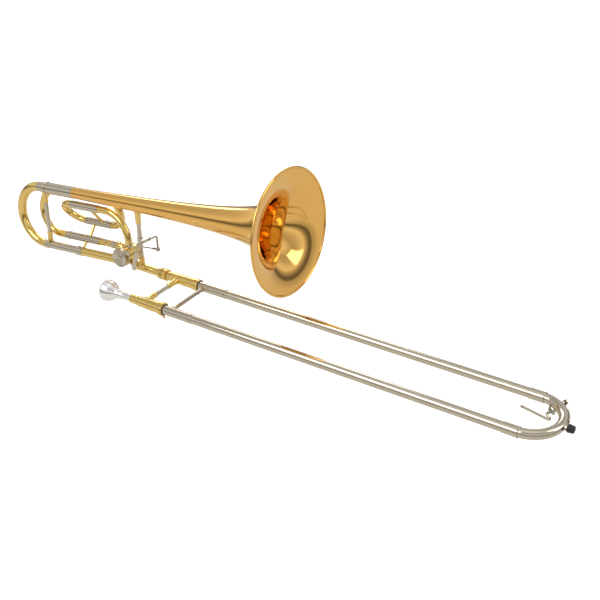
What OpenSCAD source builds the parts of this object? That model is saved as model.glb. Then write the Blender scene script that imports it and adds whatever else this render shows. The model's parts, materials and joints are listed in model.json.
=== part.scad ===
// Tenor trombone with an F attachment: hand slide, bell section, rotary valve and mouthpiece.
// X points forward along the hand slide, Y to the player's left, Z up out of the slide plane.
// The origin is the middle of the inner slide brace, where the left hand holds the instrument.

/* [Hand slide] */
// Spacing between the two slide tubes, centre to centre
slide_spacing = 96; // [86:1:108]
// Bore of the inner slide tubes
slide_bore = 13.9; // [12:0.1:15]
// Wall of the inner slide tubes
inner_wall = 0.3; // [0.2:0.05:0.5]
// Extra radius of the stockings over the inner tubes
stocking_step = 0.1; // [0.05:0.01:0.2]
// Radial running clearance between a stocking and its outer tube
slide_clearance = 0.06; // [0.02:0.01:0.1]
// Wall of the outer slide tubes
outer_wall = 0.4; // [0.3:0.05:0.7]
// Distance from the inner brace to the start of the end bow
slide_reach = 688; // [560:1:830]
// Length of each stocking
stocking_length = 120; // [60:1:140]
// Distance from the inner brace to the outer brace, slide closed
outer_brace_x = 58.7; // [52:0.1:72]
// Length of the sleeves on the open ends of the outer tubes
outer_sleeve_length = 58; // [50:1:80]
// Radius of the bars of the two slide braces
brace_bar_r = 4.2; // [3:0.1:5]

/* [Slide barrels] */
// Distance from the inner brace back to the rear face of a barrel
barrel_back = 9; // [9:0.5:14]
// Distance from the inner brace to the open front face of a barrel
barrel_front = 47.5; // [42:0.5:49]
// Radial gap between an outer tube and the barrel it slides into
barrel_gap = 1.3; // [0.8:0.1:1.8]
// Wall of the barrels
barrel_wall = 0.6; // [0.5:0.1:1.2]
// Length of the turned ring on the front of a barrel
barrel_ring_length = 10; // [6:0.5:12]
// Length of the felt bumper in each barrel
felt_length = 13; // [8:0.5:16]
// Length of the slide receiver behind the left barrel
receiver_length = 30; // [24:0.5:34]
// Length of the lock nut
lock_nut_length = 20; // [15:0.5:22]
// Outer radius of the lock nut
lock_nut_r = 10.6; // [10:0.1:12]
// Length of the mouthpiece receiver behind the right barrel
mouthpiece_receiver_length = 19; // [18:0.5:28]

/* [Mouthpiece] */
// Rim diameter of the mouthpiece
mouthpiece_rim_d = 38.5; // [36:0.5:41]
// Cup diameter at the rim
cup_d = 25.5; // [24:0.1:27]
// Cup depth
cup_depth = 25; // [20:0.5:28]
// Length from the rim to the mouthpiece receiver
mouthpiece_reach = 60; // [56:0.5:66]
// Length of the shank inside the receiver
shank_depth = 16; // [12:0.5:17]
// Throat diameter
throat_d = 6.6; // [6:0.1:7.5]

/* [Bell] */
// Diameter of the bell's mouth
bell_d = 216; // [195:1:240]
// Length of the bell from its tail to the rim
bell_length = 488.8; // [450:0.1:540]
// Radius of the bell's tail
bell_tail_r = 10.7; // [10.4:0.1:11.5]
// How quickly the flare opens near the rim
flare_reach = 8; // [5:0.5:14]
// Exponent of the flare
flare_power = 0.42; // [0.35:0.01:0.6]
// Wall of the bell
bell_wall = 0.7; // [0.5:0.1:1]
// Radius of the rolled bead on the rim
rim_bead_r = 2.1; // [1.6:0.1:3]
// Height of the bell's axis over the main lower tube
bell_height = 115.6; // [112:0.1:126]
// Upward tilt of the bell section from the slide, in degrees
bell_rise = 4.72; // [3:0.1:6]
// Lean of the bell section from square to the slide plane, in degrees
bell_lean = 6.65; // [0:0.05:12]

/* [Main tubing] */
// Outer radius of the main lower tube
main_tube_r = 8.0; // [7.9:0.1:8.6]
// Wall of brass tubes
tube_wall = 0.5; // [0.4:0.05:0.8]
// Distance from the valve pivot back to the slide ring on the lower tube
lower_ring_a = 106; // [102:0.5:112]
// Distance from the valve pivot back to the slide ring on the upper sleeve
upper_ring_a = 171; // [166:0.5:176]
// Distance from the valve pivot back to the start of the main tuning bow
tuning_bow_a = 193; // [190:0.5:205]
// Radius of the tuning bow's tube at its lower end
bow_low_r = 7.9; // [7.6:0.1:8.2]
// Radius of the tuning bow's tube at its upper end
bow_high_r = 9.3; // [9:0.1:9.6]
// Length of the tuning slide's legs inside their sleeves
tuning_leg = 62; // [55:1:68]

/* [Rotary valve] */
// Distance of the valve's axis forward of the valve pivot
valve_a = 21; // [19:0.5:24]
// Height of the valve's axis over the main lower tube
valve_h = 14.5; // [13.5:0.5:15.5]
// Radius of the rotor
rotor_r = 14.2; // [13.8:0.1:16.5]
// Radial running clearance of the rotor
rotor_clearance = 0.05; // [0.03:0.01:0.1]
// Wall of the valve casing
casing_wall = 2; // [1.5:0.1:2.5]
// Half of the casing's length
casing_half = 19; // [18:0.5:22]
// Wall of the screwed valve cap
cap_wall = 1.5; // [1.2:0.1:2]

/* [F attachment] */
// Outer radius of the attachment's brass tubes
f_tube_r = 6.7; // [6.2:0.1:7]
// Outer radius of the attachment's slide sleeves and ferrules
f_sleeve_r = 7.4; // [7.3:0.1:7.8]
// Distance back from the valve pivot to the slide rings
f_ring_a = 142; // [138:0.5:150]
// Distance back from the valve pivot to the start of the F tuning bow
f_bow_a = 168.6; // [166:0.1:180]
// Length of the F tuning slide's legs inside their sleeves
f_leg = 56; // [40:1:60]
// Radius of the large bend from the upper leg down to the valve
f_drop_r = 53; // [50:0.5:55]

/* [Thumb lever] */
// Length of the lever's arm from its axle to the ball joint
lever_arm = 26; // [24:0.5:28]
// Radius of the stop arm's pin circle
stop_arm_r = 7.5; // [7:0.1:8]
// Radius of the lever's round rod
lever_rod_r = 1.9; // [1.5:0.1:2.2]

/* [Fits] */
// Gap between soldered, screwed or butted pieces
seat_gap = 0.03; // [0.01:0.01:0.06]
// Radial running clearance of small pins and axles
pin_clearance = 0.05; // [0.03:0.01:0.1]
// Gap between faces that turn or slide past each other
run_gap = 0.3; // [0.2:0.05:0.5]
// Radial clearance of the tuning slide legs
leg_clearance = 0.06; // [0.03:0.01:0.1]

/* [Hidden] */
$fn = 64;

brass = [0.86, 0.67, 0.27];
gold_brass = [0.80, 0.55, 0.28];
nickel = [0.72, 0.69, 0.62];
silver = [0.90, 0.90, 0.90];
felt_black = [0.06, 0.06, 0.06];
steel = [0.45, 0.45, 0.47];
big = 1000;

// Hand slide radii, from the bore outwards
bore_r = slide_bore / 2;
inner_r = bore_r + inner_wall;
stocking_r = inner_r + stocking_step;
outer_bore_r = stocking_r + slide_clearance;
outer_r = outer_bore_r + outer_wall;
tube_y = slide_spacing / 2;
outer_sleeve_r = outer_r + 0.5;
barrel_bore_r = outer_r + barrel_gap;
barrel_r = barrel_bore_r + barrel_wall;
barrel_ring_r = barrel_r + 1.4;
felt_r = inner_r + 1;
barrel_rear_r = felt_r + barrel_wall;
barrel_taper_end = 14;
barrel_web = 3;
felt_start = -barrel_back + barrel_web + seat_gap;
outer_start = felt_start + felt_length + run_gap;
sleeve_start = barrel_front + run_gap;
stocking_start = slide_reach - stocking_length - 6;
end_ferrule_length = 20;
end_ferrule_r = outer_r + 0.7;

// Slide receiver and gooseneck tenon
receiver_r = 8.9;
thread_r = 8.5;
tenon_r = bore_r + 0.5;
receiver_bore_r = tenon_r + seat_gap;
tenon_end = -barrel_back - 6;
receiver_back = -barrel_back - receiver_length;
nut_back = receiver_back - 7;
nut_collar_r = 7.5 + pin_clearance;
thread_length = 14;

// Bell section frame: a runs forward, y left and h up, from the valve pivot
pivot_x = -141.3;
valve_centre = [valve_a, 0, valve_h];
casing_r = rotor_r + rotor_clearance + casing_wall;
valve_cap_r = casing_r + cap_wall;
bell_front = bell_length - 100;
flare_offset = bell_tail_r - 20.6;
bead_centre_r = bell_d / 2 - rim_bead_r;
upper_sleeve_r = bell_tail_r + 0.6;
tail_socket = 12;
main_bore_r = main_tube_r - tube_wall;

// F attachment route: two long legs, two loop legs and the drop to the valve
f_bore_r = f_tube_r - 0.4;
f_low = [18, 20];
f_high = [22, bell_height - 7.6];
f_loop_low = [38, 49];
f_loop_high = [0, bell_height - 23.6];
f_port_h = valve_h + 14;
f_crook_a = -47;
f_small_bow_a = -115;
f_drop_start = valve_a + 5 - f_drop_r;
f_drop_end_h = f_loop_high[1] - f_drop_r;
f_leg_r = f_tube_r - 0.35;
f_sleeve_bore_r = f_leg_r + leg_clearance;
f_sleeve_front = -68.5;

// Lever and valve linkage
lever_axle = [66, 0, 48];
lever_side = 33;
rest_pin_angle = 135;
joint_start = lever_axle - [0, 0, lever_arm];
brace_a = 55;

// Water key on the end bow
bow_r = slide_spacing / 2;
key_angle = 58;
key_hinge = [-8.8, -9.2];
nipple_top = outer_r + 3.2;

// ---- helpers ----

function unit(v) = v / norm(v);

module along_x(x0, x1) {
    translate([x0, 0, 0]) rotate([0, 90, 0]) linear_extrude(x1 - x0) children();
}

module annulus(ro, ri) {
    difference() {
        circle(ro);
        if (ri > 0) circle(ri);
    }
}

// Straight tube along X
module tube_x(x0, x1, ro, ri) {
    along_x(x0, x1) annulus(ro, ri);
}

// Solid of revolution about X; points are [x, radius]
module turned(points) {
    rotate([0, 90, 0]) rotate_extrude() polygon([for (p = points) [p[1], p[0]]]);
}

// Turned ring with a rounded outside, centred at x
module bead(x, ro, ri, w) {
    translate([x, 0, 0]) rotate([0, 90, 0]) rotate_extrude() difference() {
        union() {
            translate([ri, -w / 2]) square([ro - ri - w / 2, w]);
            translate([ro - w / 2, 0]) circle(w / 2, $fn = 24);
        }
        translate([ri - 10, -w]) square([10, 2 * w]);
    }
}

// Round bar from p to q
module bar(p, q, r) {
    v = q - p;
    translate(p) rotate([0, acos(v[2] / norm(v)), atan2(v[1], v[0])]) cylinder(h = norm(v), r = r);
}

// Places children by an origin and three axes
module on_axes(o, x, y, z) {
    multmatrix([[x[0], y[0], z[0], o[0]], [x[1], y[1], z[1], o[1]], [x[2], y[2], z[2], o[2]], [0, 0, 0, 1]])
        children();
}

// Round rod through points, bent at each inner corner; a bend swells by bend_swell, and the
// straights run bend_lap into it. past lengthens both ends.
bend_swell = 0.12;
bend_lap = 0.4;
function corner_turn(u, v) = acos(max(-1, min(1, u * v)));
module rod_path(points, bend, r, past = 0) {
    n = len(points);
    dirs = [for (i = [0 : n - 2]) unit(points[i + 1] - points[i])];
    cut = [for (i = [0 : n - 1]) (i == 0 || i == n - 1) ? -past
        : bend * tan(corner_turn(dirs[i - 1], dirs[i]) / 2) - bend_lap];
    for (i = [0 : n - 2]) {
        p = points[i] + dirs[i] * cut[i];
        q = points[i + 1] - dirs[i] * cut[i + 1];
        if ((q - p) * dirs[i] > bend_lap + 0.01) bar(p, q, r);
    }
    for (i = [1 : n - 2]) {
        u = dirs[i - 1];
        v = dirs[i];
        towards = unit(v - u * (u * v));
        on_axes(points[i] - u * (cut[i] + bend_lap) + towards * bend, towards * -1, u, cross(u, towards))
            rotate_extrude(angle = corner_turn(u, v)) translate([bend, 0]) circle(r + bend_swell);
    }
}

// Tube through points, bent at each inner corner
module tube_path(points, bend, ro, ri) {
    difference() {
        rod_path(points, bend, ro);
        rod_path(points, bend, ri, 1);
    }
}

// Half-turn bow between two legs at [y, h], starting at a and bulging to the side given by way
module half_bow(a, p, q, way, ro, ri) {
    m = (p + q) / 2;
    r = norm(p - q) / 2;
    x = [0, (p[0] - m[0]) / r, (p[1] - m[1]) / r];
    y = [way, 0, 0];
    z = cross(x, y);
    on_axes([a, m[0], m[1]], x, y, z)
        rotate_extrude(angle = 180) translate([r, 0]) annulus(ro, ri);
}

// Leg of tubing parallel to the bell, at [y, h]
module leg(p, a0, a1, ro, ri) {
    translate([0, p[0], p[1]]) tube_x(a0, a1, ro, ri);
}

module bell_frame() {
    translate([pivot_x, tube_y, 0]) rotate([-bell_lean, 0, 0]) rotate([0, -bell_rise, 0]) children();
}

module left_side() {
    translate([0, tube_y, 0]) children();
}

module right_side() {
    translate([0, -tube_y, 0]) children();
}

// Flared socket of a brace, drawn along +Z from a tube's axis
module brace_socket(start, length, base_r, end_r, bore) {
    translate([0, 0, start]) rotate_extrude() difference() {
        polygon([
            [0, 0], [base_r, 0], [base_r, 1],
            for (t = [0.15 : 0.15 : 0.9]) [end_r + (base_r - end_r) * pow(1 - t, 3), 1 + t * (length - 3)],
            [end_r, length - 2], [end_r + 0.35, length - 1.6], [end_r + 0.35, length], [0, length]
        ]);
        if (bore > 0) square([bore, length + 1]);
    }
}

// ---- inner slide ----

lock_groove = [barrel_front - 5.2, barrel_front - 1.4];
lock_groove_r = barrel_ring_r - 0.6;
module barrel(grooved) {
    ring = barrel_front - barrel_ring_length;
    g = lock_groove;
    turned(concat([
        [-barrel_back, inner_r + seat_gap], [-barrel_back, barrel_rear_r], [barrel_taper_end, barrel_r],
        [ring - 2, barrel_r], [ring - 1.6, barrel_r + 0.5], [ring - 0.9, barrel_r + 0.5], [ring - 0.5, barrel_r],
        [ring, barrel_r], [ring, barrel_ring_r]
    ], grooved ? [[g[0], barrel_ring_r], [g[0], lock_groove_r], [g[1], lock_groove_r], [g[1], barrel_ring_r]] : [], [
        [barrel_front - 0.6, barrel_ring_r], [barrel_front, barrel_ring_r - 0.6], [barrel_front, barrel_bore_r],
        [barrel_taper_end, barrel_bore_r], [felt_start + felt_length, felt_r],
        [-barrel_back + barrel_web, felt_r], [-barrel_back + barrel_web, inner_r + seat_gap]
    ]));
}

module barrel_outside() {
    turned([
        [-30, 0], [-30, barrel_rear_r + seat_gap], [-barrel_back, barrel_rear_r + seat_gap],
        [barrel_taper_end, barrel_r + seat_gap], [30, barrel_r + seat_gap], [30, 0]
    ]);
}

module left_barrel() {
    color(brass) left_side() barrel(false);
}

module right_barrel() {
    color(brass) right_side() barrel(true);
}

module slide_receiver() {
    front = -barrel_back - seat_gap;
    root = thread_r - 0.3;
    color(brass) left_side() turned(concat([
        [receiver_back, receiver_bore_r], [receiver_back, root]
    ], [for (i = [0 : 5]) for (p = [[1, root], [1.4, thread_r], [2, thread_r], [2.4, root]])
        [receiver_back + 2 * i + p[0], p[1]]
    ], [
        [front - 4, root], [front - 3.6, receiver_r], [front - 0.4, receiver_r], [front, root],
        [front, bore_r], [tenon_end, bore_r], [tenon_end, receiver_bore_r]
    ]));
}

module mouthpiece_receiver() {
    back = -barrel_back - mouthpiece_receiver_length;
    color(brass) right_side() difference() {
        turned([
            [back, 6], [back, 7.1], [back + 1, 7.5], [-barrel_back - 3, 7.8],
            [-barrel_back - 1, 8.5], [-barrel_back - seat_gap, 8.5], [-barrel_back - seat_gap, 6]
        ]);
        turned([
            [back - 1, 0], [back - 1, shank_back_r + seat_gap], [back, shank_back_r + seat_gap],
            [back + shank_depth + 1, shank_tip_r + seat_gap], [back + shank_depth + 1, bore_r],
            [0, bore_r], [0, 0]
        ]);
    }
}

module barrel_felts() {
    color(felt_black) for (s = [-1, 1]) translate([0, s * tube_y, 0])
        tube_x(felt_start, felt_start + felt_length, felt_r - seat_gap, inner_r + seat_gap);
}

module inner_tube() {
    tube_x(-barrel_back, stocking_start, inner_r, bore_r);
}

module left_inner_tube() {
    color(nickel) left_side() inner_tube();
}

module right_inner_tube() {
    color(nickel) right_side() inner_tube();
}

module stockings() {
    color(silver) for (s = [-1, 1]) translate([0, s * tube_y, 0])
        tube_x(stocking_start + seat_gap, stocking_start + stocking_length, stocking_r, bore_r);
}

brace_socket_length = 21;
module inner_brace_bar() {
    half = tube_y - barrel_r - seat_gap - 2;
    color(nickel) bar([0, -half, 0], [0, half, 0], brace_bar_r);
}

module inner_brace_sockets() {
    color(brass) for (s = [-1, 1]) difference() {
        translate([0, s * tube_y, 0]) rotate([s * 90, 0, 0])
            brace_socket(5, barrel_r + brace_socket_length - 5, brace_bar_r + 3, brace_bar_r + 0.9, brace_bar_r + seat_gap);
        translate([0, s * tube_y, 0]) barrel_outside();
    }
}

lock_ring_bore = lock_groove_r + pin_clearance;
module slide_lock_ring() {
    front = lock_groove[1] - pin_clearance;
    back = lock_groove[0] + pin_clearance;
    color(brass) right_side() {
        tube_x(back, front, barrel_ring_r + 0.9, lock_ring_bore);
        difference() {
            translate([(front + back) / 2, 0, 0]) rotate([180, 0, 0]) {
                cylinder(h = barrel_ring_r + 4.5, r = 1.7);
                translate([0, 0, barrel_ring_r + 4.5]) sphere(2.5);
            }
            along_x(0, 60) circle(barrel_ring_r + 0.3);
        }
    }
}

// ---- hand slide ----

module outer_tube() {
    tube_x(outer_start, slide_reach, outer_r, outer_bore_r);
}

module left_outer_tube() {
    color(nickel) left_side() outer_tube();
}

module right_outer_tube() {
    color(nickel) right_side() outer_tube();
}

module outer_tube_sleeves() {
    color(nickel) for (s = [-1, 1]) translate([0, s * tube_y, 0]) {
        tube_x(sleeve_start, sleeve_start + outer_sleeve_length, outer_sleeve_r, outer_r + seat_gap);
        bead(sleeve_start + outer_sleeve_length + 0.8 + seat_gap, outer_sleeve_r + 0.2, outer_r + seat_gap, 1.6);
    }
}

module outer_brace() {
    bar_r = brace_bar_r - 0.6;
    half = tube_y - outer_sleeve_r - 12;
    color(nickel) difference() {
        translate([outer_brace_x, 0, 0]) {
            bar([0, -half, 0], [0, half, 0], bar_r);
            for (s = [-1, 1]) translate([0, s * tube_y, 0]) rotate([s * 90, 0, 0])
                brace_socket(4, outer_sleeve_r + 9, bar_r + 3, bar_r + 0.4, 0);
        }
        for (s = [-1, 1]) translate([0, s * tube_y, 0]) along_x(20, 100) circle(outer_sleeve_r + seat_gap);
    }
}

module end_ferrules() {
    color(nickel) for (s = [-1, 1]) translate([0, s * tube_y, 0]) {
        tube_x(slide_reach - end_ferrule_length, slide_reach + 3, end_ferrule_r, outer_r + seat_gap + 0.12);
        bead(slide_reach + 3.8 + seat_gap, end_ferrule_r + 0.6, outer_r + seat_gap + 0.3, 1.6);
    }
}

bow_wall = 0.6;
module end_bow() {
    color(nickel) difference() {
        translate([slide_reach + seat_gap, 0, 0]) rotate([0, 0, -90]) rotate_extrude(angle = 180)
            translate([bow_r, 0]) annulus(outer_r, outer_r - bow_wall);
        at_key(0, 0) rotate([0, 90, 0]) cylinder(h = 20, r = 2);
    }
}

// Frame on the end bow at the water key: x outwards, y along the bow, z up
module at_key(o, u) {
    translate([slide_reach, 0, 0]) rotate([0, 0, key_angle]) translate([bow_r + o, 0, u]) children();
}

module bow_guard() {
    span = 30;
    color(nickel) translate([slide_reach, 0, 0]) rotate([0, 0, 8]) rotate_extrude(angle = span)
        translate([bow_r, 0]) intersection() {
            annulus(outer_r + 1.1, outer_r + 4 * seat_gap);
            translate([outer_r - 3, -4.5]) square([10, 9]);
        }
}

// Sector of the end bow's tube as a solid, for trimming what is soldered to it
module bow_space(from, to, r) {
    translate([slide_reach, 0, 0]) rotate([0, 0, from]) rotate_extrude(angle = to - from, $fn = 360)
        translate([bow_r, 0]) circle(r, $fn = 128);
}

bumper_start = slide_reach + bow_r + outer_r;
module bumper_cup() {
    color(nickel) difference() {
        translate([0, -3, 0]) along_x(bumper_start - 3, bumper_start + 1.6) circle(5.4);
        bow_space(-25, 25, outer_r + 2 * seat_gap);
        translate([0, -3, 0]) along_x(bumper_start + 0.6, bumper_start + 4) circle(4.2);
    }
}

module rubber_bumper() {
    x = bumper_start + 0.6 + seat_gap;
    color(felt_black) translate([0, -3, 0]) turned([
        [x, 0], [x, 4.1], [x + 1.3, 4.1], [x + 1.3, 5.2],
        for (t = [15 : 15 : 165]) [x + 4.1 - 2.8 * cos(t), 5.2 + 1.4 * sin(t)],
        [x + 6.9, 5.0],
        for (t = [15 : 15 : 90]) [x + 9.4 - 2.5 * cos(t), 5.0 + 1.2 * sin(t)],
        [x + 11.4, 5.2], [x + 12, 3.8], [x + 12, 0]
    ]);
}

module water_key_nipple() {
    color(nickel) difference() {
        at_key(0, 0) rotate([0, 90, 0]) cylinder(h = nipple_top, r = 3);
        at_key(0, 0) rotate([0, 90, 0]) cylinder(h = 20, r = 2);
        bow_space(key_angle - 20, key_angle + 20, outer_r + 2 * seat_gap);
    }
}

key_pin_r = 1.1;
key_barrel_r = 2.2;
key_half = 4;
module water_key_saddle() {
    color(nickel) difference() {
        union() {
            for (s = [-1, 1]) at_key(key_hinge[0], key_hinge[1]) {
                translate([0, s * (key_half + 1.3), 0]) rotate([90, 0, 0]) cylinder(h = 2, r = key_barrel_r, center = true);
                translate([-1.6, s * (key_half + 1.3) - 1, 0]) cube([3.2, 2, 9]);
            }
            at_key(key_hinge[0], key_hinge[1]) rotate([90, 0, 0]) cylinder(h = 2 * key_half + 5, r = key_pin_r, center = true);
        }
        bow_space(key_angle - 20, key_angle + 20, outer_r + 2 * seat_gap);
    }
}

module water_key_spring() {
    color(steel) at_key(key_hinge[0], key_hinge[1]) {
        for (s = [-1, 1]) translate([0, s * (key_half - 0.65), 0]) rotate([90, 0, 0])
            for (i = [-1 : 1]) translate([0, 0, i * 0.5]) rotate_extrude() translate([key_barrel_r + 0.4, 0]) circle(0.25, $fn = 16);
    }
}

key_lever_r = 2;
module water_key_lever() {
    tip = [slide_reach - 14, 3, 6];
    a = key_angle;
    c = cos(a);
    s = sin(a);
    hinge = [slide_reach + (bow_r + key_hinge[0]) * c, (bow_r + key_hinge[0]) * s, key_hinge[1]];
    inner = hinge - 10 * [c, s, 0];
    bend = [slide_reach + 31, 7, -5.5];
    cup_o = nipple_top + run_gap + 2.4;
    color(nickel) {
        difference() {
            union() {
                at_key(key_hinge[0], key_hinge[1]) rotate([90, 0, 0])
                    cylinder(h = 2 * (key_half - 1.6), r = key_barrel_r, center = true);
                rod_path([hinge, inner, bend, tip], 5, key_lever_r);
                translate(tip) sphere(key_lever_r + 0.4);
                at_key(0, 0) rod_path([
                    [key_hinge[0], 0, key_hinge[1]], [4, 0, -outer_r - 4],
                    [cup_o + 1.6, 0, -outer_r + 2], [cup_o + 1.6, 0, 0]
                ], 3, 1.5);
                at_key(cup_o, 0) rotate([0, 90, 0]) cylinder(h = 2.8, r = 4);
            }
            at_key(key_hinge[0], key_hinge[1]) rotate([90, 0, 0])
                cylinder(h = 30, r = key_pin_r + pin_clearance, center = true);
            at_key(cup_o - 1, 0) rotate([0, 90, 0]) cylinder(h = 2.2, r = 3.3);
        }
    }
}

module water_key_cork() {
    color(felt_black) at_key(nipple_top + run_gap, 0) rotate([0, 90, 0]) cylinder(h = 3.6 - seat_gap, r = 3.3 - seat_gap);
}

// ---- mouthpiece ----

shank_tip_r = bore_r - 1.1;
shank_back_r = shank_tip_r + shank_depth * 0.026;
module mouthpiece() {
    back = -barrel_back - mouthpiece_receiver_length;
    rim = back - mouthpiece_reach;
    tip = back + shank_depth;
    rr = mouthpiece_rim_d / 2;
    cup_r = cup_d / 2;
    throat = rim + cup_depth;
    color(silver) right_side() turned([
        for (t = [0 : 0.125 : 1]) [rim + 3.2 + cup_depth * (1 - pow(1 - t, 2)) * 0.9 - 1.6, cup_r * pow(cos(t * 78), 0.8)],
        [throat + 4, throat_d / 2], [throat + 9, throat_d / 2], [tip, bore_r - 2],
        [tip, shank_tip_r], [back, shank_back_r], [back - 0.5, shank_back_r],
        [back - 8, shank_back_r + 0.1], [back - 17, shank_back_r + 0.5], [back - 20, shank_back_r + 1.4],
        [back - 22, shank_back_r + 1.5], [back - 24, shank_back_r + 1.2],
        for (t = [0.1 : 0.15 : 1]) [back - 24 - 24 * t, shank_back_r + 1.2 + (rr - 3 - shank_back_r - 1.2) * pow(t, 0.6)],
        [rim + 9, rr - 1.6], [rim + 7, rr - 0.4],
        for (t = [0 : 15 : 180]) [rim + 3.1 - 3.1 * sin(t * 0.5), rr - (rr - cup_r - 2.4) * (1 - cos(t)) / 2]
    ]);
}

// ---- gooseneck and lock nut ----

neck_r = 7.5;
module gooseneck() {
    color(brass) difference() {
        union() {
            left_side() tube_x(pivot_x + 30, nut_back + 3.4, neck_r, bore_r);
            left_side() tube_x(nut_back + 3.4, nut_back + 6.6, receiver_r - 0.9, bore_r);
            left_side() tube_x(nut_back + 6.6, tenon_end - 0.3, tenon_r, bore_r);
        }
        bell_frame() valve_clearance();
        bell_frame() valve_elbow_lr_space();
    }
}

module lock_nut() {
    inside = nut_back + 3 + run_gap;
    end = nut_back + lock_nut_length;
    color(brass) left_side() difference() {
        turned([
            [nut_back, 7], [nut_back, 8.6], [nut_back + 2, lock_nut_r - 0.8], [nut_back + 5, lock_nut_r - 0.8],
            [nut_back + 6, lock_nut_r], [end - 3, lock_nut_r], [end - 2.4, lock_nut_r - 0.7],
            [end - 1.6, lock_nut_r - 0.7], [end - 1, lock_nut_r], [end, lock_nut_r], [end, 7]
        ]);
        along_x(nut_back - 1, end + 1) circle(nut_collar_r);
        along_x(inside - 0.2, end + 1) circle(thread_r + pin_clearance);
        for (t = [0 : 15 : 345]) rotate([t, 0, 0]) translate([nut_back + 7, 0, lock_nut_r + 0.5]) rotate([0, 90, 0])
            cylinder(h = 6, r = 0.9, $fn = 24);
    }
}

// ---- bell ----

function bell_radius(a) = flare_offset
    + (bead_centre_r - flare_offset) * pow(flare_reach / (flare_reach + bell_front - rim_bead_r - a), flare_power);
function flare_stations() = [for (i = [0 : 44]) bell_front - rim_bead_r - (bell_length - rim_bead_r) * pow(1 - i / 44, 2.4)];

module bell() {
    tail = bell_front - bell_length;
    s = flare_stations();
    n = len(s);
    color(gold_brass) bell_frame() translate([0, 0, bell_height]) difference() {
        union() {
            turned([
                for (i = [0 : n - 1]) [s[i], bell_radius(s[i]) ],
                for (i = [n - 1 : -1 : 0]) [s[i], bell_radius(s[i]) - bell_wall]
            ]);
            translate([bell_front - rim_bead_r, 0, 0]) rotate([0, 90, 0])
                rotate_extrude() translate([bead_centre_r, 0]) circle(rim_bead_r, $fn = 32);
        }
        translate([bell_front - rim_bead_r, 0, 0]) rotate([0, 90, 0])
            rotate_extrude() translate([bead_centre_r, 0]) circle(rim_bead_r - 0.7, $fn = 32);
    }
}

module bell_rim_wire() {
    color(steel) bell_frame() translate([bell_front - rim_bead_r, 0, bell_height]) rotate([0, 90, 0])
        rotate_extrude() translate([bead_centre_r, 0]) circle(rim_bead_r - 0.7 - 4 * seat_gap, $fn = 32);
}

module bell_solid(extra) {
    translate([0, 0, bell_height]) turned([
        [-100, 0], for (a = [-100 : 20 : 200]) [a, bell_radius(a) + extra], [200, 0]
    ]);
}

// The gooseneck in bell-section coordinates, for the pieces that sit on it
module gooseneck_space(r) {
    rotate([0, bell_rise, 0]) along_x(0, 120) circle(r);
}

brace_low = 3;
module bell_brace_bar() {
    color(nickel) bell_frame() bar([brace_a, 0, neck_r + brace_low], [brace_a, 0, bell_height - 26], brace_bar_r);
}

module bell_brace_fittings() {
    color(brass) bell_frame() {
        difference() {
            translate([brace_a, 0, bell_height]) rotate([180, 0, 0])
                brace_socket(10, 25, brace_bar_r + 3, brace_bar_r + 1, brace_bar_r + seat_gap);
            bell_solid(seat_gap);
        }
        difference() {
            translate([brace_a, 0, -5]) brace_socket(0, 20, brace_bar_r + 2.6, brace_bar_r + 0.9, brace_bar_r + seat_gap);
            gooseneck_space(neck_r + seat_gap);
        }
    }
}

// ---- main tubing and tuning slide ----

leg_r = main_bore_r - leg_clearance;
upper_leg_r = 9.0;
upper_sleeve_bore_r = upper_leg_r + leg_clearance;
module main_lower_tube() {
    color(brass) bell_frame() difference() {
        tube_x(-lower_ring_a, elbow_start[0] - seat_gap, main_tube_r, main_bore_r);
        valve_clearance();
    }
}

module tuning_sleeves() {
    color(nickel) bell_frame() {
        tube_x(-lower_ring_a, -lower_ring_a + 12, main_tube_r + 0.6, main_tube_r + seat_gap);
        bead(-lower_ring_a - 0.8, main_tube_r + 1.3, leg_r + 0.3, 1.6);
        translate([0, 0, bell_height]) {
            tube_x(-upper_ring_a, bell_front - bell_length - seat_gap, upper_sleeve_r - 0.3, upper_sleeve_bore_r);
            bead(-upper_ring_a - 0.9, upper_sleeve_r + 0.9, upper_sleeve_bore_r + 0.1, 1.8);
        }
    }
}

tuning_bow_r = bell_height / 2;
bow_steps = 20;
bow_sides = 24;
function bow_tube_r(t) = bow_low_r + (bow_high_r - bow_low_r) * t;
function bow_point(t, k, r) =
    let (w = 180 * t, s = 360 * k / bow_sides, d = tuning_bow_r - r * cos(s))
    [-tuning_bow_a - d * sin(w), r * sin(s), bell_height / 2 - d * cos(w)];
// The tuning bow widens steadily from its lower to its upper end
module tuning_bow() {
    n = bow_sides;
    rings = bow_steps + 1;
    outer = [for (i = [0 : bow_steps]) for (k = [0 : n - 1])
        bow_point(i / bow_steps, k, bow_tube_r(i / bow_steps))];
    inner = [for (i = [0 : bow_steps]) for (k = [0 : n - 1])
        bow_point(i / bow_steps, k, bow_tube_r(i / bow_steps) - 0.8)];
    m = rings * n;
    last = bow_steps * n;
    faces = [
        for (i = [0 : bow_steps - 1]) for (k = [0 : n - 1])
            [i * n + k, (i + 1) * n + k, (i + 1) * n + (k + 1) % n, i * n + (k + 1) % n],
        for (i = [0 : bow_steps - 1]) for (k = [0 : n - 1])
            [m + i * n + k, m + i * n + (k + 1) % n, m + (i + 1) * n + (k + 1) % n, m + (i + 1) * n + k],
        for (k = [0 : n - 1]) [k, (k + 1) % n, m + (k + 1) % n, m + k],
        for (k = [0 : n - 1]) [last + k, m + last + k, m + last + (k + 1) % n, last + (k + 1) % n]
    ];
    color(brass) bell_frame() polyhedron(points = concat(outer, inner), faces = faces, convexity = 6);
}

module tuning_legs() {
    color(nickel) bell_frame() {
        tube_x(-tuning_bow_a + seat_gap, -lower_ring_a + tuning_leg, leg_r, leg_r - 0.5);
        translate([0, 0, bell_height])
            tube_x(-tuning_bow_a + seat_gap, -upper_ring_a + tuning_leg, upper_leg_r, upper_leg_r - 0.5);
    }
}

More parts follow.
